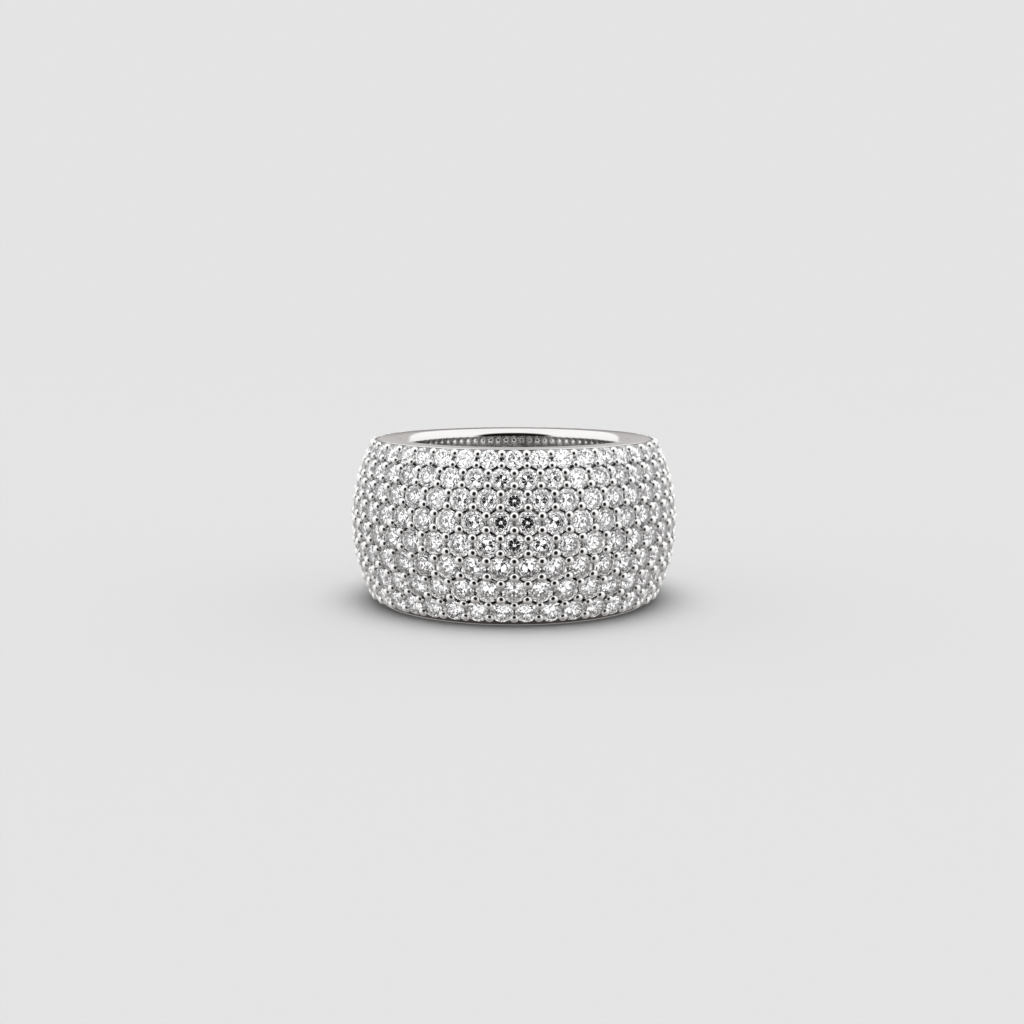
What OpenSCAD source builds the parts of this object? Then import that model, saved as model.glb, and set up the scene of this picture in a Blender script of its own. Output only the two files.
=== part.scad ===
// Dome ring: a wide, domed finger ring of polished white metal, set all round with staggered rows of
// round brilliants. It lies on its side, with the finger hole upright. Millimetres, +Z up.
// The origin is the middle of the face that it lies on.

/* [Band] */
// Inside diameter of the finger hole
bore_d = 16.9; // [16.5:0.1:17.5]
// Width of the band, from one polished rim to the other
band_w = 12.5; // [12.3:0.1:13]
// Diameter over the girdles of the stones, at the middle of the band
dome_d = 24.56; // [24.3:0.02:25]
// Radius of the arc that the dome follows across the band
dome_arc_r = 12.85; // [12.5:0.05:13.5]
// Outside diameter of the flat rims
rim_d = 21; // [20.6:0.1:21.2]
// How far the rounded edge of the finger hole reaches out across each rim
comfort_w = 0.45; // [0.3:0.05:0.5]
// How far the rounded edge of the finger hole reaches in from each rim
comfort_h = 0.65; // [0.55:0.05:0.8]

/* [Stones] */
// Stones in each row
stones_per_row = 40; // [36:1:41]
// Distance of the top row's girdles below the upper rim
top_row_drop = 0.68; // [0.62:0.01:0.75]
// Distance along the dome from the top row to the next
row_gap_top = 1.43; // [1.38:0.01:1.45]
// Distance along the dome from the last row but one to the bottom row
row_gap_bottom = 1.74; // [1.68:0.01:1.76]
// Clear distance between a stone and its nearest neighbour
stone_gap = 0.12; // [0.11:0.01:0.2]
// Clear distance between a stone and the groove that it sits in
seat_gap = 0.12; // [0.1:0.01:0.15]
// Diameter of the holes drilled behind the stones from inside
azure_d = 0.9; // [0.6:0.05:1]

/* [Hidden] */
$fn = 96;

// The field of stones has eight rows, counted from the top.
row_count = 8;
// The solids hold these rows. The finest stones, in the two edge rows, are left off.
solid_rows = [2, 3, 4, 5, 6, 7];
// Rows whose stones have a drilled hole behind them
drilled_rows = [2, 4, 6];
// Azimuth of the front of the ring
front = -90;

// Proportions of a round brilliant, as parts of its diameter
table_part = 0.56;
crown_part = 0.15;
pavilion_part = 0.43;
// Sides of a stone's outline and of its table
girdle_sides = 16;
table_sides = 8;

bore_r = bore_d / 2;
mid_z = band_w / 2;
dome_centre_r = dome_d / 2 - dome_arc_r;
// Radius of the arc that leaves the wall of the finger hole smoothly and ends in the flat rim
comfort_arc_r = (comfort_w * comfort_w + comfort_h * comfort_h) / (2 * comfort_w);
pitch_angle = 360 / stones_per_row;
pavilion_angle = atan(2 * pavilion_part);
// Depth of the metal bed below the girdles, and height of the plain borders above them
bed_drop = 0.2;
border_rise = 0.22;
// Slope of the bevel from a flat rim out to its border
rim_bevel_angle = 40;
// Border left solid beside the outermost grooves
border_margin = 0.15;
// Overlap that carries a cut clear of the surface it starts from
overcut = 1;

// Distance along the dome from the top row to a row
function row_arc(row) =
    let (steps = row - 1, last = row_count - 2)
    steps * row_gap_top + (row_gap_bottom - row_gap_top) * steps * (steps - 1) / 2 / last;

// Tilt of a row's stones above the level
function row_tilt(row) =
    asin((mid_z - top_row_drop) / dome_arc_r) - row_arc(row) / dome_arc_r * 180 / PI;

// Radius and height of the dome at a tilt, raised above the girdles by a distance
function dome_r(tilt, rise = 0) = dome_centre_r + (dome_arc_r + rise) * cos(tilt);
function dome_z(tilt, rise = 0) = mid_z + (dome_arc_r + rise) * sin(tilt);

// Azimuth of a stone: the rows are staggered, and row 1 has a stone at the front
function stone_azimuth(row, i) = front + pitch_angle * (i + (row % 2 == 1 ? 0 : 0.5));

// Middle of the girdle of a stone
function girdle_centre(row, i) =
    let (tilt = row_tilt(row), azimuth = stone_azimuth(row, i))
    [dome_r(tilt) * cos(azimuth), dome_r(tilt) * sin(azimuth), dome_z(tilt)];

// Distance from a stone to the next one in its row, and to the nearest one in the row below
function distance_beside(row) = norm(girdle_centre(row, 1) - girdle_centre(row, 0));
function distance_below(row) =
    let (away = girdle_centre(row + 1, row % 2 == 1 ? 0 : 1) - girdle_centre(row, 0))
    norm(away);

// A stone is as large as its nearest neighbour lets it be
function stone_d(row) =
    min(
        distance_beside(row),
        distance_below(max(row - 1, 1)),
        distance_below(min(row, row_count - 1))
    ) - stone_gap;

// Corners of a brilliant in its own frame, with its girdle at height 0: girdle, table and culet
function brilliant_points(d) = concat(
    [for (i = [0:girdle_sides - 1]) let (a = 360 * i / girdle_sides)
        [d / 2 * cos(a), d / 2 * sin(a), 0]],
    [for (i = [0:table_sides - 1]) let (a = 360 * i / table_sides)
        [d / 2 * table_part * cos(a), d / 2 * table_part * sin(a), d * crown_part]],
    [[0, 0, -d * pavilion_part]]
);
brilliant_corners = girdle_sides + table_sides + 1;

// Faces of a brilliant: the table, eight stars, sixteen crown facets and sixteen pavilion facets
function girdle_corner(i) = (i + girdle_sides) % girdle_sides;
function table_corner(i) = girdle_sides + i % table_sides;
brilliant_faces = concat(
    [[for (i = [table_sides - 1:-1:0]) table_corner(i)]],
    [for (i = [0:table_sides - 1]) [table_corner(i), table_corner(i + 1), girdle_corner(2 * i + 1)]],
    [for (i = [0:table_sides - 1]) [table_corner(i), girdle_corner(2 * i), girdle_corner(2 * i - 1)]],
    [for (i = [0:table_sides - 1]) [table_corner(i), girdle_corner(2 * i + 1), girdle_corner(2 * i)]],
    [for (i = [0:girdle_sides - 1]) [brilliant_corners - 1, girdle_corner(i), girdle_corner(i + 1)]]
);

// Moves a point from a stone's own frame to its place on the dome
function on_dome(p, row, i) =
    let (
        tilt = row_tilt(row),
        a = stone_azimuth(row, i),
        along = [-sin(a), cos(a), 0],
        out = [cos(tilt) * cos(a), cos(tilt) * sin(a), sin(tilt)]
    )
    girdle_centre(row, i) + p[0] * along + p[1] * cross(out, along) + p[2] * out;

// Metal section before the grooves: the bed under the stones, with plain borders up to their tables
module dome_section() {
    intersection() {
        translate([bore_r, 0]) square([dome_d / 2 - bore_r + overcut, band_w]);
        union() {
            translate([dome_centre_r, mid_z]) circle(r = dome_arc_r - bed_drop);
            difference() {
                translate([dome_centre_r, mid_z]) circle(r = dome_arc_r + border_rise);
                field_window();
            }
        }
    }
}

// The stretch of the section that the rows of solid stones take up
module field_window() {
    first = solid_rows[0];
    last = solid_rows[len(solid_rows) - 1];
    top = dome_z(row_tilt(first)) + stone_d(first) / 2 + border_margin;
    bottom = dome_z(row_tilt(last)) - stone_d(last) / 2 - border_margin;
    translate([0, bottom]) square([dome_d, top - bottom]);
}

// Groove that a row's pavilions sit in, parallel to their sides
module row_groove(row) {
    depth = stone_d(row) * pavilion_part + seat_gap / cos(pavilion_angle);
    half = (depth + overcut) / tan(pavilion_angle);
    translate([dome_r(row_tilt(row)), dome_z(row_tilt(row))])
        rotate(row_tilt(row))
        polygon([[-depth, 0], [overcut, -half], [overcut, half]]);
}

// Rounds the corner where the finger hole meets the lower rim
module comfort_corner() {
    difference() {
        translate([bore_r - overcut, -overcut]) square([overcut + comfort_w, overcut + comfort_h]);
        translate([bore_r + comfort_arc_r, comfort_h]) circle(r = comfort_arc_r);
    }
}

// Bevels the corner outside the lower flat rim
module rim_bevel() {
    reach = dome_d / 2 - rim_d / 2;
    translate([rim_d / 2, 0])
        polygon([[0, 0], [0, -overcut], [reach, -overcut], [reach, reach * tan(rim_bevel_angle)]]);
}

module rim_corners() {
    comfort_corner();
    rim_bevel();
}

module band_section() {
    difference() {
        dome_section();
        for (row = solid_rows) row_groove(row);
        rim_corners();
        translate([0, band_w]) mirror([0, 1]) rim_corners();
    }
}

// Hole drilled level from inside to the groove behind a stone
module azure(row, i) {
    reach = dome_r(row_tilt(row)) - stone_d(row) * pavilion_part;
    translate([0, 0, dome_z(row_tilt(row))])
        rotate([0, 90, stone_azimuth(row, i)])
        translate([0, 0, bore_r - overcut])
        cylinder(d = azure_d, h = reach - bore_r + overcut);
}

module band() {
    color("#c8c9cb")
        difference() {
            rotate_extrude() band_section();
            for (row = drilled_rows, i = [0:stones_per_row - 1]) azure(row, i);
        }
}

module stones() {
    places = [for (row = solid_rows, i = [0:stones_per_row - 1]) [row, i]];
    color("#eef1f5")
        polyhedron(
            points = [for (place = places, p = brilliant_points(stone_d(place[0])))
                on_dome(p, place[0], place[1])],
            faces = [for (n = [0:len(places) - 1], f = brilliant_faces)
                [for (corner = f) corner + n * brilliant_corners]]
        );
}

band();
stones();
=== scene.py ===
import bpy
import bmesh
import math
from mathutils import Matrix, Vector


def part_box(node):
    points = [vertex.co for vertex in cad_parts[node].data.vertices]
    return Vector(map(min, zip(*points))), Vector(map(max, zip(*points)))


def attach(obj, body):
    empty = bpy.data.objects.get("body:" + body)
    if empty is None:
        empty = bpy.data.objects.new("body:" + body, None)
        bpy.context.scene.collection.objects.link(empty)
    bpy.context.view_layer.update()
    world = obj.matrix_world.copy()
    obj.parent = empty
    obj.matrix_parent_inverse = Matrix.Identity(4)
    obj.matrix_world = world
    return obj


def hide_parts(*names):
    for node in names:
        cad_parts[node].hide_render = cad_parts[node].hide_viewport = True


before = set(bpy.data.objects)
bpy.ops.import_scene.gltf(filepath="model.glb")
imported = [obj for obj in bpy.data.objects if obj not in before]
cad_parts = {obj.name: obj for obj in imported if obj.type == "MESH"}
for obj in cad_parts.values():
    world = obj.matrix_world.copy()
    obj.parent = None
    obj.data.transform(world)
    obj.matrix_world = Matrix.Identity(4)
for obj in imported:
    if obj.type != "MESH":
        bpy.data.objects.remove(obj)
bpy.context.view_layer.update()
print("dome ring: frame loaded")

mm = 0.001
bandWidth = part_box("band")[1].z
midHeight = bandWidth / 2
front = math.radians(-90)  # azimuth of the side that faces the camera

# The stones lie in staggered rows, counted from 1 at the top. Same layout as in the part's source,
# with the stones of both edge rows as well.
field = {
    "rows": 8,
    "perRow": 40,
    "topRowDrop": 0.68 * mm,  # girdles of the top row below the upper rim
    "gapTop": 1.43 * mm,  # along the dome, from row 1 to row 2
    "gapBottom": 1.74 * mm,  # the same from row 7 to row 8
    "domeRadius": 12.28 * mm,  # over the girdles at the middle of the band
    "arcRadius": 12.85 * mm,  # of the arc that the dome follows across the band
    "stoneGap": 0.07 * mm,
    "edgeGrain": 0.38 * mm,  # from an edge row's middle out to its last grains
}
pitch = 2 * math.pi / field["perRow"]
arcCentre = field["domeRadius"] - field["arcRadius"]
rowNumbers = range(1, field["rows"] + 1)


def rowTilt(row):
    steps = row - 1
    growth = (field["gapBottom"] - field["gapTop"]) / (field["rows"] - 2)
    arc = steps * field["gapTop"] + growth * steps * (steps - 1) / 2
    return math.asin((midHeight - field["topRowDrop"]) / field["arcRadius"]) - arc / field["arcRadius"]


def around(azimuth, radius, height):
    return Vector((radius * math.cos(azimuth), radius * math.sin(azimuth), height))


def onDome(azimuth, tilt, rise=0.0):
    reach = field["arcRadius"] + rise
    return around(azimuth, arcCentre + reach * math.cos(tilt), midHeight + reach * math.sin(tilt))


def stoneAzimuth(row, i):
    return front + pitch * (i + (0 if row % 2 else 0.5))


def stoneSize(row):
    # A stone is as large as its nearest neighbour lets it be.
    here = onDome(0, rowTilt(row))
    spans = [(onDome(pitch, rowTilt(row)) - here).length]
    for other in (row - 1, row + 1):
        if other in rowNumbers:
            spans.append((onDome(pitch / 2, rowTilt(other)) - here).length)
    # The edge rows' stones also stay below the flat of the rims.
    spans.append(2 * min(here.z, bandWidth - here.z) / math.cos(rowTilt(row)))
    return min(spans) - field["stoneGap"]


def meetingPoint(gap, half):
    # Distance from a row's line to the point equally far from two of its stones
    # and from the stone between them in the next row.
    return (gap * gap - half * half) / (2 * gap)


def grainTilt(row, side):
    # Side 1 is above the row, -1 below.
    if row - side not in rowNumbers:
        return rowTilt(row) + side * field["edgeGrain"] / field["arcRadius"]
    gap = field["arcRadius"] * abs(rowTilt(row - side) - rowTilt(row))
    half = pitch / 2 * onDome(0, rowTilt(row)).xy.length
    return rowTilt(row) + side * meetingPoint(gap, half) / field["arcRadius"]


def newPiece(name, points, facets, sharpAngle=None):
    mesh = bpy.data.meshes.new(name)
    mesh.from_pydata(points, [], facets)
    mesh.validate()
    if sharpAngle is not None:
        mesh.shade_smooth()
        mesh.set_sharp_from_angle(angle=sharpAngle)
    piece = bpy.data.objects.new(name, mesh)
    bpy.context.scene.collection.objects.link(piece)
    return piece


def linkedNode(tree, kind, outputName, links, **settings):
    # A new node with these settings. Each input named in links takes a socket or a plain value.
    node = tree.nodes.new(kind)
    for name, value in settings.items():
        setattr(node, name, value)
    for socket, value in links.items():
        if isinstance(value, bpy.types.NodeSocket):
            tree.links.new(value, node.inputs[socket])
        else:
            node.inputs[socket].default_value = value
    return node.outputs[outputName]


def mathNode(tree, operation, *values):
    return linkedNode(tree, "ShaderNodeMath", 0, dict(enumerate(values)), operation=operation)


def lengthNode(tree, x, y):
    squares = [mathNode(tree, "MULTIPLY", side, side) for side in (x, y)]
    return mathNode(tree, "SQRT", mathNode(tree, "ADD", *squares))


def rangeNode(tree, value, low, high, toLow=0.0, toHigh=1.0):
    links = {"Value": value, "From Min": low, "From Max": high, "To Min": toLow, "To Max": toHigh}
    return linkedNode(tree, "ShaderNodeMapRange", "Result", links, interpolation_type="SMOOTHSTEP")


def noiseNode(tree, vector, scale, detail=2.0):
    links = {"Vector": vector, "Scale": scale, "Detail": detail}
    return linkedNode(tree, "ShaderNodeTexNoise", "Fac", links)


def mixNode(tree, factor, a, b, kind="FLOAT"):
    links = {"Factor": factor, "A": a, "B": b}
    return linkedNode(tree, "ShaderNodeMix", "Result", links, data_type=kind)


def splitNode(tree, vector):
    node = tree.nodes.new("ShaderNodeSeparateXYZ")
    tree.links.new(vector, node.inputs[0])
    return node.outputs


def objectPlace(tree):
    return tree.nodes.new("ShaderNodeTexCoord").outputs["Object"]


# The surface of the metal, in two shader groups that both of its finishes use. Lines, smudges and
# spots are so many per metre, and a spread is the part of their noise that counts.
metal = {
    "lines": 9000.0,
    "lineSpread": (0.35, 0.7),
    "lineHeight": 0.01 * mm,
    "smudges": 350.0,
    "smudgeSpread": (0.3, 0.75),
    "spots": 900.0,
    "spotSpread": (0.3, 0.7),
    "spotStrength": 0.12,
    "noiseDetail": 3.0,
    "paintedShadeFrom": 0.1,  # recess where the painted shade begins
    "paintedShadeTo": 0.9,
}


def newGroup(name, inputs, outputs):
    group = bpy.data.node_groups.new(name, "ShaderNodeTree")
    for socketName, kind, value in inputs:
        socket = group.interface.new_socket(socketName, in_out="INPUT", socket_type=kind)
        socket.default_value = value
    for socketName, kind in outputs:
        group.interface.new_socket(socketName, in_out="OUTPUT", socket_type=kind)
    return group, group.nodes.new("NodeGroupInput"), group.nodes.new("NodeGroupOutput")


def polishGroup():
    # Fine lines that the polishing wheel leaves round the ring, and soft handling smudges.
    group, given, result = newGroup(
        "polish lines",
        [
            ("Lines per Metre", "NodeSocketFloat", metal["lines"]),
            ("Line Depth", "NodeSocketFloat", 0.1),
            ("Smudges per Metre", "NodeSocketFloat", metal["smudges"]),
            ("Least Roughness", "NodeSocketFloat", 0.06),
            ("Most Roughness", "NodeSocketFloat", 0.16),
        ],
        [("Roughness", "NodeSocketFloat"), ("Normal", "NodeSocketVector")],
    )
    place = objectPlace(group)
    parts = splitNode(group, place)
    radius = lengthNode(group, parts["X"], parts["Y"])
    across = linkedNode(group, "ShaderNodeCombineXYZ", 0, {"X": radius, "Y": parts["Z"]})
    lines = noiseNode(group, across, given.outputs["Lines per Metre"])
    smudge = noiseNode(group, place, given.outputs["Smudges per Metre"], metal["noiseDetail"])
    height = mathNode(group, "MULTIPLY", lines, rangeNode(group, smudge, *metal["lineSpread"]))
    links = {"Distance": metal["lineHeight"], "Strength": given.outputs["Line Depth"], "Height": height}
    normal = linkedNode(group, "ShaderNodeBump", "Normal", links)
    roughness = rangeNode(
        group, smudge, *metal["smudgeSpread"], given.outputs["Least Roughness"],
        given.outputs["Most Roughness"])
    group.links.new(normal, result.inputs["Normal"])
    group.links.new(roughness, result.inputs["Roughness"])
    return group


def paintedShadeGroup():
    # Painted shade: metal in the recesses is painted darker, standing in for the shade there, and made
    # duller. The recess attribute says where.
    group, given, result = newGroup(
        "paintedShade",
        [
            ("Recess", "NodeSocketFloat", 0.0),
            ("Clean Color", "NodeSocketColor", (0.8, 0.8, 0.79, 1)),
            ("Tarnished Color", "NodeSocketColor", (0.1, 0.1, 0.1, 1)),
            ("Clean Roughness", "NodeSocketFloat", 0.1),
            ("Tarnished Roughness", "NodeSocketFloat", 0.4),
            ("Spots per Metre", "NodeSocketFloat", metal["spots"]),
        ],
        [("Color", "NodeSocketColor"), ("Roughness", "NodeSocketFloat")],
    )
    noise = noiseNode(
        group, objectPlace(group), given.outputs["Spots per Metre"], metal["noiseDetail"])
    strength = metal["spotStrength"]
    spots = rangeNode(group, noise, *metal["spotSpread"], -strength, strength)
    spotted = mathNode(group, "ADD", given.outputs["Recess"], spots)
    amount = rangeNode(group, spotted, metal["paintedShadeFrom"], metal["paintedShadeTo"])
    color = mixNode(group, amount, given.outputs["Clean Color"], given.outputs["Tarnished Color"], "RGBA")
    roughness = mixNode(
        group, amount, given.outputs["Clean Roughness"], given.outputs["Tarnished Roughness"])
    group.links.new(color, result.inputs["Color"])
    group.links.new(roughness, result.inputs["Roughness"])
    return group


polishLines = polishGroup()
paintedShade = paintedShadeGroup()


def newMaterial(name, **values):
    material = bpy.data.materials.new(name)
    material.use_nodes = True
    shader = material.node_tree.nodes["Principled BSDF"]
    for socket, value in values.items():
        shader.inputs[socket.replace("_", " ")].default_value = value
    return material, material.node_tree, shader


def placeGroup(tree, group, **values):
    node = tree.nodes.new("ShaderNodeGroup")
    node.node_tree = group
    for socket, value in values.items():
        node.inputs[socket.replace("_", " ")].default_value = value
    return node


def whiteMetal(name, cleanColor, paintedShadeColor, leastRoughness, mostRoughness, lineDepth):
    material, tree, shader = newMaterial(name, Metallic=1.0)
    polish = placeGroup(
        tree, polishLines,
        Line_Depth=lineDepth, Least_Roughness=leastRoughness, Most_Roughness=mostRoughness)
    tone = placeGroup(tree, paintedShade, Clean_Color=cleanColor, Tarnished_Color=paintedShadeColor)
    recess = tree.nodes.new("ShaderNodeAttribute")
    recess.attribute_name = "recess"
    tree.links.new(recess.outputs["Fac"], tone.inputs["Recess"])
    tree.links.new(polish.outputs["Roughness"], tone.inputs["Clean Roughness"])
    tree.links.new(polish.outputs["Normal"], shader.inputs["Normal"])
    tree.links.new(tone.outputs["Color"], shader.inputs["Base Color"])
    tree.links.new(tone.outputs["Roughness"], shader.inputs["Roughness"])
    return material


# Both finishes are painted darker in their recesses, as painted shade, through the recess attribute.
bandFinish = whiteMetal(
    "polished white metal", cleanColor=(0.83, 0.82, 0.812, 1), paintedShadeColor=(0.115, 0.104, 0.1, 1),
    leastRoughness=0.05, mostRoughness=0.14, lineDepth=0.25)
grainFinish = whiteMetal(
    "burnished grains", cleanColor=(0.9, 0.897, 0.89, 1), paintedShadeColor=(0.25, 0.235, 0.225, 1),
    leastRoughness=0.1, mostRoughness=0.16, lineDepth=0.05)
stoneFinish = newMaterial(
    "clear stone", Base_Color=(0.985, 0.99, 1.0, 1), Roughness=0.0, IOR=2.2, Transmission_Weight=1.0)[0]

# The band: rounded rims, and under each stone a cell with a seat, a tunnel and a hole in the bore.
# The seats of both edge rows are closed, and the bore behind them has scoops.
band = {
    "boreRadius": 8.45 * mm,
    "rimRadius": 10.5 * mm,  # outside of the flat rims
    "rimEdge": 0.06 * mm,  # rounding outside the flat rims
    "rimEdgeSteps": 4,
    "comfortWidth": 0.45 * mm,  # the finger hole's rounded edges
    "comfortHeight": 0.65 * mm,
    "comfortSteps": 8,
    "bedDrop": 0.2 * mm,  # metal between the stones, below their girdles
    "slotHalf": 0.42 * mm,  # between two stones of a row the metal is cut to two bright banks
    "slotLift": 0.08 * mm,
    "bankShare": 1.01,  # radius of a bank's edge over the stone's
    "bankDrop": 0.08 * mm,
    "lipShare": 0.3,  # the painted-shade line between two stones' lips reaches this far
    "seatShare": 0.93,  # radius of a seat's edge over the stone's
    "seatDrop": 0.12 * mm,
    "seatSlope": math.atan(0.86),
    "throatRadius": 0.42 * mm,
    "edgeSeatDepth": 1.1 * mm,
    "holeRadius": 0.42 * mm,  # in the bore
    "chamfer": 0.03 * mm,
    "scoop": (0.18 * mm, 0.24 * mm),  # half width and half height
    "scoopDepth": 0.03 * mm,
    "scoopLean": 0.4,  # its deepest point lies this share of the half height nearer to the rim
    "scoopLoops": [(0.75, 0.4, 0.25), (0.4, 0.8, 0.75)],  # shares of its size, depth and lean
    "rowSqueeze": 0.977,  # the holes' rows lie this much closer than the stones'
    "stepsPerHalfPitch": 4,
    "sharpAngle": math.radians(24),
    # How much painted shade the metal gets, darker and duller: 0 is none, 1 is full. A pair says it for
    # the places beside the grains and for midway between two stones of a row.
    "groundRecess": (0.9, 0.7),
    "upperLipRecess": (0.4, 0.25),
    "lowerLipRecess": (0.9, 0.25),
    "upperRows": 3,  # that have the upper lips
    "seatEdgeRecess": (0.95, 0.15),
    "seatRecess": 0.1,
    "tunnelRecess": 0.3,
    "wallRecess": 0.35,
    "scoopGapRecess": 0.6,
    "scoopEdgeRecess": 0.15,
    "scoopRecess": 0.1,
    "rimRecess": 0.0,
}
halfPitch = pitch / 2
sideSteps = band["stepsPerHalfPitch"]


def sameOrder(points, steps):
    # Points along the straight lines between corners, each line in its own number of steps.
    found = []
    for start, end, count in zip(points, points[1:] + points[:1], steps):
        for k in range(count):
            found.append(tuple(a + (b - a) * k / count for a, b in zip(start, end)))
    return found


def rimTilt():
    out = band["rimRadius"] - arcCentre
    up = midHeight - band["rimEdge"]
    return math.atan2(up, out), math.hypot(up, out) - field["arcRadius"]


def bedOutline(row, i):
    # Outline of a stone's cell on the dome, from its top round to the left: azimuth, tilt and rise.
    azimuth = stoneAzimuth(row, i)
    left, right = azimuth - halfPitch, azimuth + halfPitch
    edgeTilt, edgeRise = rimTilt()
    bed = -band["bedDrop"]
    up, down = grainTilt(row, 1), grainTilt(row, -1)
    if row == 1:
        top = [(azimuth, edgeTilt, edgeRise), (left, edgeTilt, edgeRise)]
        topRight = (right, edgeTilt, edgeRise)
    else:
        top = [(azimuth, grainTilt(row - 1, -1), bed), (left, up, bed)]
        topRight = (right, up, bed)
    if row == field["rows"]:
        bottom = [(left, -edgeTilt, edgeRise), (azimuth, -edgeTilt, edgeRise), (right, -edgeTilt, edgeRise)]
    else:
        bottom = [(left, down, bed), (azimuth, grainTilt(row + 1, 1), bed), (right, down, bed)]
    return sameOrder(top + bottom + [topRight], [sideSteps] * 6)


def boreRow(row):
    rowHeight = onDome(0, rowTilt(row)).z
    return midHeight + (rowHeight - midHeight) * band["rowSqueeze"]


def boreCorner(row, side):
    gap = abs(boreRow(row - side) - boreRow(row))
    return boreRow(row) + side * meetingPoint(gap, halfPitch * band["boreRadius"])


def boreOutline(row, azimuth, stoneBehind=True):
    # Outline of a hole's cell on the wall of the bore, in the same order: azimuth and height.
    left, right = azimuth - halfPitch, azimuth + halfPitch
    if 1 < row < field["rows"]:
        corners = [
            (azimuth, boreCorner(row - 1, -1)),
            (left, boreCorner(row, 1)),
            (left, boreCorner(row, -1)),
            (azimuth, boreCorner(row + 1, 1)),
            (right, boreCorner(row, -1)),
            (right, boreCorner(row, 1)),
        ]
        return sameOrder(corners, [sideSteps] * 6)
    # An edge row has a scoop every half pitch.
    side = -1 if row == 1 else 1
    near, far = boreCorner(row, side), boreCorner(row - side, -side)
    tip, flank = (far if stoneBehind else near), (near + far) / 2
    rim = midHeight - side * (midHeight - band["comfortHeight"])
    left, right = azimuth - halfPitch / 2, azimuth + halfPitch / 2
    half, tall = sideSteps // 2, sideSteps * 2
    if row == 1:
        corners = [(azimuth, rim), (left, rim), (left, flank), (azimuth, tip), (right, flank), (right, rim)]
    else:
        corners = [(azimuth, tip), (left, flank), (left, rim), (azimuth, rim), (right, rim), (right, flank)]
    return sameOrder(corners, [half, tall, half, half, tall, half])


def boreLoop(azimuth, height, outline, halfWidth, halfHeight, radius):
    points = []
    for edgeAzimuth, edgeHeight in outline:
        turn = math.atan2(edgeHeight - height, (edgeAzimuth - azimuth) * band["boreRadius"])
        away = halfWidth * math.cos(turn) / band["boreRadius"]
        points.append(around(azimuth + away, radius, height + halfHeight * math.sin(turn)))
    return points


def seatLoop(row, azimuth, outline, radius, drop):
    tilt = rowTilt(row)
    centre = onDome(azimuth, tilt)
    out = (onDome(azimuth, tilt, mm) - centre).normalized()
    along = Vector((-math.sin(azimuth), math.cos(azimuth), 0))
    up = out.cross(along)
    points = []
    for point in outline:
        away = onDome(*point) - centre
        turn = math.atan2(away.dot(up), away.dot(along))
        points.append(centre + radius * (math.cos(turn) * along + math.sin(turn) * up) - drop * out)
    return points


def rimProfile():
    # Upper rim from its outside edge to the bore: radius and height.
    edge, steps = band["rimEdge"], band["rimEdgeSteps"]
    points = []
    for k in range(steps + 1):
        turn = math.pi / 2 * k / steps
        radius = band["rimRadius"] - edge * (1 - math.cos(turn))
        points.append((radius, bandWidth - edge * (1 - math.sin(turn))))
    wide, tall, steps = band["comfortWidth"], band["comfortHeight"], band["comfortSteps"]
    roundness = (wide * wide + tall * tall) / (2 * wide)
    sweep = math.asin(tall / roundness)
    for k in range(steps + 1):
        turn = sweep * (1 - k / steps)
        radius = band["boreRadius"] + roundness * (1 - math.cos(turn))
        points.append((radius, bandWidth - tall + roundness * math.sin(turn)))
    return points


vertices, faces, recess, numberAt = [], [], [], {}


def addVertex(point, depth):
    # Points less than about 0.1 micrometre apart are one.
    key = tuple(round(c * 1e7) for c in point)
    if key not in numberAt:
        numberAt[key] = len(vertices)
        vertices.append(point)
        recess.append(depth)
    return numberAt[key]


def addLoops(loops):
    # Joins neighbouring loops of (points, recess) with four-sided faces.
    numbered = []
    for points, depth in loops:
        depths = depth if isinstance(depth, list) else [depth] * len(points)
        numbered.append([addVertex(*pair) for pair in zip(points, depths)])
    for outer, inner in zip(numbered, numbered[1:]):
        for k in range(len(outer)):
            n = (k + 1) % len(outer)
            faces.append((outer[k], outer[n], inner[n], inner[k]))
    return numbered


def closeLoop(numbered, point, depth):
    middle = addVertex(point, depth)
    for k in range(len(numbered)):
        faces.append((numbered[k], numbered[(k + 1) % len(numbered)], middle))


def slotShares(row, azimuth, outline):
    # 1 midway between two stones of a row, falling to 0 at the grains above and below.
    shares = []
    for a, tilt, rise in outline:
        away = abs(tilt - rowTilt(row)) * field["arcRadius"] / band["slotHalf"]
        beside = abs(abs(a - azimuth) - halfPitch) < 1e-6
        shares.append(max(0.0, 1 - away * away) if beside else 0.0)
    return shares


def blended(pair, shares):
    return [pair[0] + (pair[1] - pair[0]) * share for share in shares]


def addScoop(row, azimuth, stoneBehind):
    outline = boreOutline(row, azimuth, stoneBehind)
    height = boreRow(row)
    width, tall = band["scoop"]
    bore, depth = band["boreRadius"], band["scoopDepth"]
    up = tall * band["scoopLean"] * (1 if row == 1 else -1)
    loops = [
        ([around(a, bore, z) for a, z in outline], band["scoopGapRecess"]),
        (boreLoop(azimuth, height, outline, width, tall, bore), band["scoopEdgeRecess"]),
    ]
    for size, sunk, leant in band["scoopLoops"]:
        points = boreLoop(
            azimuth, height + up * leant, outline, width * size, tall * size, bore + depth * sunk)
        loops.append((points, band["scoopRecess"]))
    closeLoop(addLoops(loops)[-1], around(azimuth, bore + depth, height + up), band["scoopRecess"])


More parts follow.
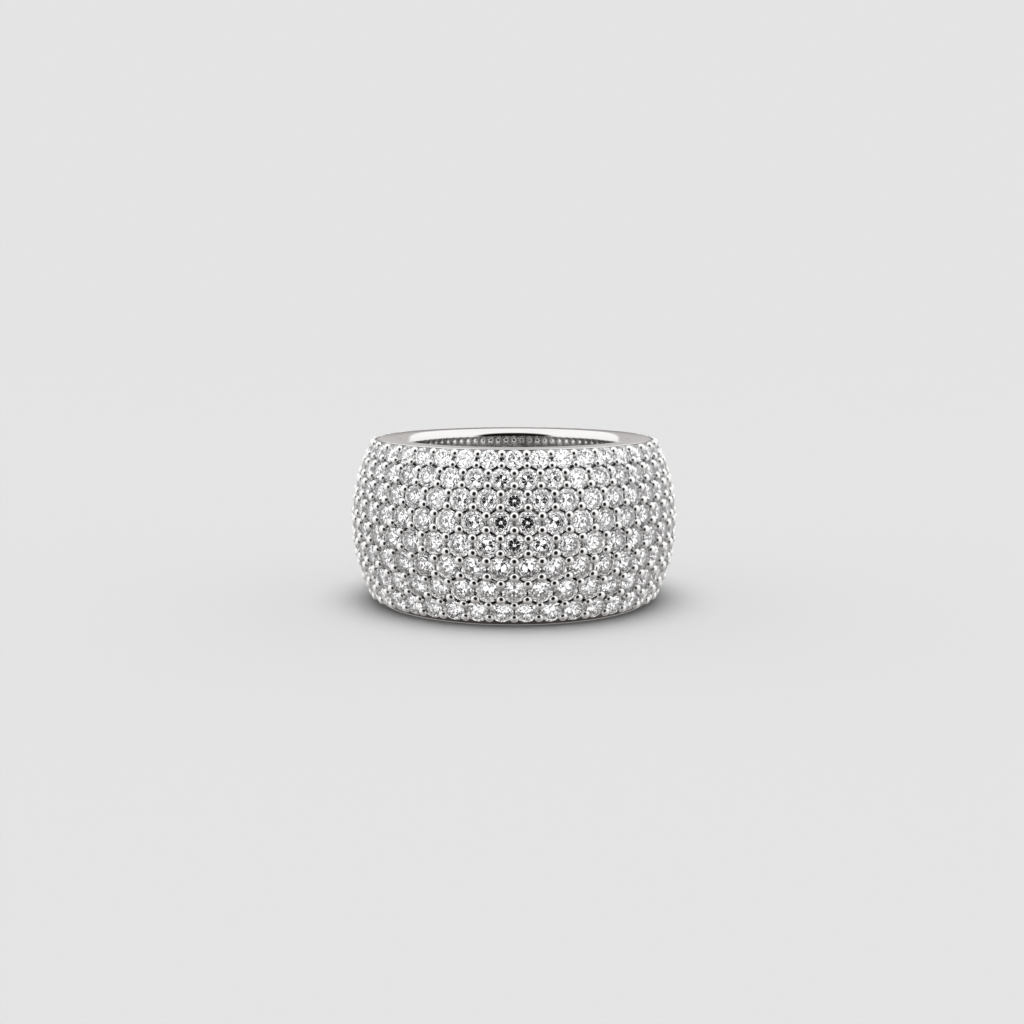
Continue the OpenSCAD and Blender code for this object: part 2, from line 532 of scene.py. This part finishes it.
def addCell(row, i):
    azimuth = stoneAzimuth(row, i)
    outline = bedOutline(row, i)
    shares = slotShares(row, azimuth, outline)
    stoneRadius, throatRadius = stoneSize(row) / 2, band["throatRadius"]
    seatRadius, seatDrop = stoneRadius * band["seatShare"], band["seatDrop"]
    throatDrop = seatDrop + (seatRadius - throatRadius) * math.tan(band["seatSlope"])
    ground = [
        onDome(a, tilt, rise + band["slotLift"] * share)
        for (a, tilt, rise), share in zip(outline, shares)
    ]
    low = seatLoop(row, azimuth, outline, stoneRadius, band["bedDrop"])
    high = seatLoop(row, azimuth, outline, stoneRadius * band["bankShare"], band["bankDrop"])
    seatEdge = [a.lerp(b, share) for a, b, share in zip(low, high, shares)]
    lip = [a.lerp(b, band["lipShare"]) for a, b in zip(ground, seatEdge)]
    lipRecess = band["upperLipRecess"] if row <= band["upperRows"] else band["lowerLipRecess"]
    # Each loop's recess sets how much painted shade its metal gets.
    loops = [
        (ground, blended(band["groundRecess"], shares)),
        (lip, blended(lipRecess, shares)),
        (seatEdge, blended(band["seatEdgeRecess"], shares)),
        (seatLoop(row, azimuth, outline, seatRadius, seatDrop), band["seatRecess"]),
        (seatLoop(row, azimuth, outline, throatRadius, throatDrop), band["seatRecess"]),
    ]
    if row in (1, field["rows"]):
        bottom = seatLoop(row, azimuth, outline, 0, band["edgeSeatDepth"])[0]
        closeLoop(addLoops(loops)[-1], bottom, band["seatRecess"])
        addScoop(row, azimuth, stoneBehind=True)
        addScoop(row, azimuth + halfPitch, stoneBehind=False)
        return
    wall, height = boreOutline(row, azimuth), boreRow(row)
    radius, bore, chamfer = band["holeRadius"], band["boreRadius"], band["chamfer"]
    edgeRadius = radius + chamfer
    addLoops(loops + [
        (boreLoop(azimuth, height, wall, radius, radius, bore + chamfer), band["tunnelRecess"]),
        (boreLoop(azimuth, height, wall, edgeRadius, edgeRadius, bore), band["wallRecess"]),
        ([around(a, bore, z) for a, z in wall], band["wallRecess"]),
    ])


for row in rowNumbers:
    for i in range(field["perRow"]):
        addCell(row, i)
azimuths = [front + halfPitch * k / sideSteps for k in range(2 * field["perRow"] * sideSteps)]
upperRim = rimProfile()
lowerRim = [(r, bandWidth - z) for r, z in upperRim]
for profile in (upperRim, lowerRim):
    addLoops([([around(a, r, z) for a in azimuths], band["rimRecess"]) for r, z in profile])

bandPiece = newPiece("pierced_band", vertices, faces)
shape = bmesh.new()
shape.from_mesh(bandPiece.data)
bmesh.ops.recalc_face_normals(shape, faces=shape.faces)
openEdges = sum(1 for edge in shape.edges if len(edge.link_faces) != 2)
shape.to_mesh(bandPiece.data)
shape.free()
bandPiece.data.shade_smooth()
bandPiece.data.set_sharp_from_angle(angle=band["sharpAngle"])
depths = bandPiece.data.attributes.new("recess", "FLOAT", "POINT")
depths.data.foreach_set("value", recess)
bandPiece.data.materials.append(bandFinish)
print("dome ring: band", len(vertices), "points,", openEdges, "open edges")

# Brilliants and grains are one shape each, placed on a cloud of points by Geometry Nodes.
brilliant = {
    "table": 0.62,  # radii over the girdle's
    "crownSlope": math.radians(31),
    "pavilionSlope": math.radians(45),
    "culet": 0.15,  # radius of the blunter facets round the culet
    "culetSlope": math.radians(37),
    "starShare": 0.5,  # of the way from the table to the girdle
    "lowerShare": 0.6,  # of the way from the girdle to the culet
    "girdle": 0.045,
    "spin": math.radians(45),
    "wobble": math.radians(1.2),
    "seed": 3,
}
grain = {
    "share": 0.415,  # radius over that of its row's stones
    "stemRadius": 0.6,
    "foot": -1.2,
    "neck": 0.0,
    "lift": 0.33,
    "flatness": 0.75,  # height of the head over its radius
    "latitudes": [-20, 8, 34, 60],
    "sides": 12,
    "wobble": math.radians(3),
    "seed": 5,
    "sharpAngle": math.radians(50),
}


def circleOf(count, radius, height, turn=0.0):
    return [around(2 * math.pi * (k + turn) / count, radius, height) for k in range(count)]


def cutStone():
    # A brilliant of radius 1: 65 facets round a thin girdle at height 0.
    crown, pavilion = math.tan(brilliant["crownSlope"]), math.tan(brilliant["pavilionSlope"])
    inward = math.cos(math.pi / 8)
    half = brilliant["girdle"] / 2
    tableSide = brilliant["table"] * inward
    starRadius = tableSide + (1 - tableSide) * brilliant["starShare"]
    lowerRadius = 1 - brilliant["lowerShare"]
    points = circleOf(8, brilliant["table"], half + (1 - brilliant["table"]) * crown)
    points += circleOf(8, starRadius, half + (1 - starRadius * inward) * crown, 0.5)
    points += circleOf(16, 1, half) + circleOf(16, 1, -half)
    points += circleOf(8, lowerRadius, -half - (1 - lowerRadius * inward) * pavilion, 0.5)
    blunt = brilliant["culet"]
    bluntHeight = -half - (1 - blunt * inward) * pavilion
    points += circleOf(8, blunt, bluntHeight, 0.5)
    points.append(Vector((0, 0, bluntHeight - blunt * inward * math.tan(brilliant["culetSlope"]))))
    star, upper, under, lower, low, culet = 8, 16, 32, 48, 56, 64  # where each circle starts
    facets = [tuple(range(8))]
    for k in range(8):
        nextTable, previous, nextGirdle = (k + 1) % 8, (k - 1) % 8, (2 * k + 2) % 16
        facets += [
            (k, star + k, nextTable),
            (k, star + previous, upper + 2 * k, star + k),
            (star + k, upper + 2 * k, upper + 2 * k + 1),
            (star + k, upper + 2 * k + 1, upper + nextGirdle),
            (lower + k, under + 2 * k + 1, under + 2 * k),
            (lower + k, under + nextGirdle, under + 2 * k + 1),
            (low + previous, low + k, lower + k, under + 2 * k, lower + previous),
            (culet, low + k, low + previous),
        ]
    for k in range(16):
        n = (k + 1) % 16
        facets.append((upper + k, under + k, under + n, upper + n))
    return newPiece("cut_stone", points, facets)


def burnishedGrain():
    # A round-headed grain of radius 1 on a stem, its head resting on the stones' edges at height 0.
    profile = [(grain["stemRadius"], grain["foot"]), (grain["stemRadius"], grain["neck"])]
    for degrees in grain["latitudes"]:
        turn = math.radians(degrees)
        profile.append((math.cos(turn), grain["lift"] + grain["flatness"] * math.sin(turn)))
    sides = grain["sides"]
    points = [p for radius, height in profile for p in circleOf(sides, radius, height)]
    top = len(points)
    points.append(Vector((0, 0, grain["lift"] + grain["flatness"])))
    facets = [tuple(reversed(range(sides)))]
    for level in range(len(profile) - 1):
        for k in range(sides):
            n = (k + 1) % sides
            low, high = level * sides, (level + 1) * sides
            facets.append((low + k, low + n, high + n, high + k))
    last = top - sides
    facets += [(last + k, last + (k + 1) % sides, top) for k in range(sides)]
    return newPiece("burnished_grain", points, facets, grain["sharpAngle"])


def domeTree():
    # Sets a copy of a shape on each point, upright on the dome, with a small chance turn of its own.
    tree = bpy.data.node_groups.new("set round the dome", "GeometryNodeTree")
    tree.is_modifier = True
    for name, kind in (
        ("Places", "NodeSocketGeometry"), ("Shape", "NodeSocketObject"), ("Spin", "NodeSocketFloat"),
        ("Wobble", "NodeSocketFloat"), ("Seed", "NodeSocketInt"), ("Finish", "NodeSocketMaterial"),
    ):
        tree.interface.new_socket(name, in_out="INPUT", socket_type=kind)
    tree.interface.new_socket("Geometry", in_out="OUTPUT", socket_type="NodeSocketGeometry")
    given = tree.nodes.new("NodeGroupInput").outputs
    tilt, azimuth, size = [
        linkedNode(tree, "GeometryNodeInputNamedAttribute", "Attribute", {"Name": name}, data_type="FLOAT")
        for name in ("tilt", "azimuth", "size")
    ]
    lean = linkedNode(tree, "ShaderNodeMath", 0, {0: math.pi / 2, 1: tilt}, operation="SUBTRACT")
    facing = linkedNode(tree, "ShaderNodeCombineXYZ", 0, {"Y": lean, "Z": azimuth})
    stand = linkedNode(tree, "FunctionNodeEulerToRotation", 0, {"Euler": facing})
    shape = linkedNode(tree, "GeometryNodeObjectInfo", "Geometry", {"Object": given["Shape"]})
    placed = linkedNode(
        tree, "GeometryNodeInstanceOnPoints", "Instances",
        {"Points": given["Places"], "Instance": shape, "Rotation": stand, "Scale": size})
    negative = linkedNode(tree, "ShaderNodeMath", 0, {0: given["Wobble"], 1: -1.0}, operation="MULTIPLY")
    least = linkedNode(tree, "ShaderNodeCombineXYZ", 0, {"X": negative, "Y": negative})
    most = linkedNode(
        tree, "ShaderNodeCombineXYZ", 0, {"X": given["Wobble"], "Y": given["Wobble"], "Z": given["Spin"]})
    chance = linkedNode(
        tree, "FunctionNodeRandomValue", 0, {0: least, 1: most, "Seed": given["Seed"]},
        data_type="FLOAT_VECTOR")
    turn = linkedNode(tree, "FunctionNodeEulerToRotation", 0, {"Euler": chance})
    turned = linkedNode(
        tree, "GeometryNodeRotateInstances", "Instances", {"Instances": placed, "Rotation": turn})
    whole = linkedNode(tree, "GeometryNodeRealizeInstances", "Geometry", {"Geometry": turned})
    finished = linkedNode(
        tree, "GeometryNodeSetMaterial", "Geometry", {"Geometry": whole, "Material": given["Finish"]})
    tree.links.new(finished, tree.nodes.new("NodeGroupOutput").inputs["Geometry"])
    return tree


setRoundDome = domeTree()


def setOnDome(name, places, shape, **values):
    # Each place is an azimuth, a tilt and the radius of the shape there.
    cloud = bpy.data.meshes.new(name)
    cloud.from_pydata([onDome(azimuth, tilt) for azimuth, tilt, size in places], [], [])
    for column, attribute in enumerate(("azimuth", "tilt", "size")):
        layer = cloud.attributes.new(attribute, "FLOAT", "POINT")
        layer.data.foreach_set("value", [place[column] for place in places])
    piece = bpy.data.objects.new(name, cloud)
    bpy.context.scene.collection.objects.link(piece)
    modifier = piece.modifiers.new("set round the dome", "NODES")
    modifier.node_group = setRoundDome
    values["Shape"] = shape
    for item in setRoundDome.interface.items_tree:
        if item.name in values:
            modifier[item.identifier] = values[item.name]
    graph = bpy.context.evaluated_depsgraph_get()
    whole = bpy.data.meshes.new_from_object(piece.evaluated_get(graph), depsgraph=graph)
    piece.modifiers.clear()
    piece.data = whole
    whole.name = name
    bpy.data.objects.remove(shape)
    return piece


stonePlaces = [
    (stoneAzimuth(row, i), rowTilt(row), stoneSize(row) / 2)
    for row in rowNumbers for i in range(field["perRow"])
]
stonesPiece = setOnDome(
    "brilliants", stonePlaces, cutStone(),
    Finish=stoneFinish, Spin=brilliant["spin"], Wobble=brilliant["wobble"], Seed=brilliant["seed"])
grainPlaces = [
    (stoneAzimuth(row, i) + halfPitch, grainTilt(row, side), stoneSize(row) / 2 * grain["share"])
    for row in rowNumbers for i in range(field["perRow"]) for side in (1, -1)
]
grainsPiece = setOnDome(
    "grains", grainPlaces, burnishedGrain(),
    Finish=grainFinish, Spin=0.0, Wobble=grain["wobble"], Seed=grain["seed"])
print("dome ring:", len(stonePlaces), "stones and", len(grainPlaces), "grains")

# Floor and backdrop, which aren't part of the ring.
studio = {
    "floorRadius": 1.5,
    "floorRings": [0.02, 0.05, 0.12, 0.3, 0.7, 1.0],  # over its radius
    "floorSides": 96,
    "floorColor": 0.5,
    "plainFrom": 0.25,  # further out the floor turns into the plain backdrop
    "plainTo": 0.7,
    "backdrop": 0.776,
    "lens": 43.83,
    "sensorWidth": 36,
    "cameraPlace": (-0.16 * mm, -96.76 * mm, 20.29 * mm),
    "lookDown": 8.046,  # degrees
}


def grey(tone):
    return (tone, tone, tone, 1)


def roundFloor():
    sides, shares = studio["floorSides"], studio["floorRings"]
    points = [Vector((0, 0, 0))]
    for share in shares:
        points += circleOf(sides, studio["floorRadius"] * share, 0)
    facets = [(0, 1 + k, 1 + (k + 1) % sides) for k in range(sides)]
    for level in range(len(shares) - 1):
        low, high = 1 + level * sides, 1 + (level + 1) * sides
        for k in range(sides):
            n = (k + 1) % sides
            facets.append((low + k, high + k, high + n, low + n))
    return newPiece("floor", points, facets)


floor = roundFloor()
paper, paperTree, paperShader = newMaterial(
    "pale paper", Base_Color=grey(studio["floorColor"]), Roughness=0.9, Specular_IOR_Level=0.0)
glow = linkedNode(paperTree, "ShaderNodeEmission", 0, {"Color": grey(studio["backdrop"])})
away = linkedNode(
    paperTree, "ShaderNodeVectorMath", "Value", {0: objectPlace(paperTree)}, operation="LENGTH")
plain = rangeNode(paperTree, away, studio["plainFrom"], studio["plainTo"])
surface = linkedNode(paperTree, "ShaderNodeMixShader", 0, {0: plain, 1: paperShader.outputs[0], 2: glow})
paperTree.links.new(surface, paperTree.nodes["Material Output"].inputs["Surface"])
floor.data.materials.append(paper)
floor.visible_glossy = False
floor.visible_transmission = False

camera = bpy.data.cameras.new("camera")
camera.lens = studio["lens"]
camera.sensor_width = studio["sensorWidth"]
camera.clip_start = mm
cameraPiece = bpy.data.objects.new("camera", camera)
cameraPiece.location = studio["cameraPlace"]
cameraPiece.rotation_euler = (math.radians(90 - studio["lookDown"]), 0, 0)
bpy.context.scene.collection.objects.link(cameraPiece)
bpy.context.scene.camera = cameraPiece

# The studio: a bright tent all round, seen by the stones and the metal, with a dark patch where
# the camera stands. A patch is its azimuth, elevation and half width in degrees, and its tone.
tent = {
    "darkTint": (1.0, 0.93, 0.9, 1),  # of its darkest tones, fading to white in the brightest
    "darkTone": 0.01,
    "darkEdge": 0.12,  # softness of the dark patch, as a share of its size
    "darkInStones": (math.radians(14.5), math.radians(45)),  # its half width and half height
    "darkInMetal": (math.radians(41), math.radians(41)),
    "patchEdge": math.radians(6),
    "floorLight": 9.1,  # on the floor, from overhead
    "floorLightFrom": 0.88,
    "floorFill": 0.5,  # on the floor, from the whole sky
    # Tones from straight down, at -1, to straight up, at 1.
    "metalTones": [
        (-1.0, 0.3), (-0.6, 0.6), (-0.25, 0.92), (0.0, 1.02), (0.3, 1.1), (0.7, 1.15), (1.0, 1.1)],
    "metalPatches": [(90, 0, 30, 0.58), (90, -13, 14, 0.2)],
    "stoneTones": [(-1.0, 1.8), (-0.4, 1.7), (0.0, 1.6), (0.4, 1.74), (1.0, 1.74)],
    "stonePatches": [
        (-150, 10, 14, 0.42),
        (-30, 12, 14, 0.42),
        (30, 20, 18, 0.35),
        (90, 15, 20, 0.35),
        (150, 20, 18, 0.35),
        (-62, 42, 11, 0.42),
        (-118, 42, 11, 0.42),
        (0, 50, 14, 0.38),
        (180, 50, 14, 0.38),
        (-50, -20, 11, 0.42),
        (-130, -20, 11, 0.42),
        (-90, -48, 12, 0.38),
        (-90, -75, 13, 0.3),
        (-25, -50, 13, 0.3),
        (-155, -50, 13, 0.3),
        (90, -60, 13, 0.3),
    ],
}


def directionOf(azimuth, elevation):
    elevation = math.radians(elevation)
    return around(math.radians(azimuth), math.cos(elevation), math.sin(elevation))


def buildTent():
    world = bpy.data.worlds.new("tent")
    world.use_nodes = True
    bpy.context.scene.world = world
    tree = world.node_tree
    look = tree.nodes.new("ShaderNodeTexCoord").outputs["Generated"]
    up = splitNode(tree, look)["Z"]
    toCamera = cameraPiece.location - Vector((0, 0, midHeight))
    toCamera.normalize()
    aside = Vector((1, 0, 0))

    def along(direction):
        links = {0: look, 1: direction}
        return linkedNode(tree, "ShaderNodeVectorMath", "Value", links, operation="DOT_PRODUCT")

    def cameraShade(halfWidth, halfHeight):
        # 1 in an oval round the camera's direction, 0 elsewhere.
        across = mathNode(tree, "DIVIDE", along(aside), math.sin(halfWidth))
        upward = mathNode(tree, "DIVIDE", along(toCamera.cross(aside)), math.sin(halfHeight))
        least, most = 1 - tent["darkEdge"], 1 + tent["darkEdge"]
        inside = rangeNode(tree, lengthNode(tree, across, upward), least, most, 1.0, 0.0)
        return mathNode(tree, "MULTIPLY", inside, mathNode(tree, "GREATER_THAN", along(toCamera), 0.0))

    def tentTone(heights, patches, darkSize):
        tone = heights[0][1]
        for (low, lowTone), (high, highTone) in zip(heights, heights[1:]):
            step = rangeNode(tree, up, low, high, 0.0, highTone - lowTone)
            tone = mathNode(tree, "ADD", step, tone)
        for azimuth, elevation, width, value in patches:
            half, edge = math.radians(width), tent["patchEdge"]
            near = rangeNode(
                tree, along(directionOf(azimuth, elevation)),
                math.cos(half + edge), math.cos(max(half - edge, 0)))
            tone = mixNode(tree, near, tone, value)
        return mixNode(tree, cameraShade(*darkSize), tone, tent["darkTone"])

    rays = tree.nodes.new("ShaderNodeLightPath").outputs
    inStones = tentTone(tent["stoneTones"], tent["stonePatches"], tent["darkInStones"])
    inMetal = tentTone(tent["metalTones"], tent["metalPatches"], tent["darkInMetal"])
    tone = mixNode(tree, rays["Is Transmission Ray"], inMetal, inStones)
    tint = mixNode(tree, tone, tent["darkTint"], (1, 1, 1, 1), "RGBA")
    tinted = linkedNode(
        tree, "ShaderNodeVectorMath", "Vector", {"Vector": tint, "Scale": tone}, operation="SCALE")
    overhead = rangeNode(tree, up, tent["floorLightFrom"], 1.0, 0.0, tent["floorLight"])
    sky = mathNode(tree, "MULTIPLY", mathNode(tree, "GREATER_THAN", up, 0.0), tent["floorFill"])
    onFloor = mathNode(tree, "ADD", overhead, sky)
    seen = mixNode(tree, rays["Is Diffuse Ray"], tinted, onFloor, "RGBA")
    seen = mixNode(tree, rays["Is Camera Ray"], seen, grey(studio["backdrop"]), "RGBA")
    tree.links.new(seen, tree.nodes["Background"].inputs["Color"])


buildTent()
scene = bpy.context.scene
scene.view_settings.view_transform = "Standard"
scene.view_settings.look = "None"
scene.cycles.max_bounces = 18
scene.cycles.transmission_bounces = 18
scene.cycles.glossy_bounces = 8
scene.cycles.use_denoising = True
print("dome ring: studio and camera")

for piece in (bandPiece, stonesPiece, grainsPiece):
    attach(piece, "root")
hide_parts("band")
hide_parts("stones")
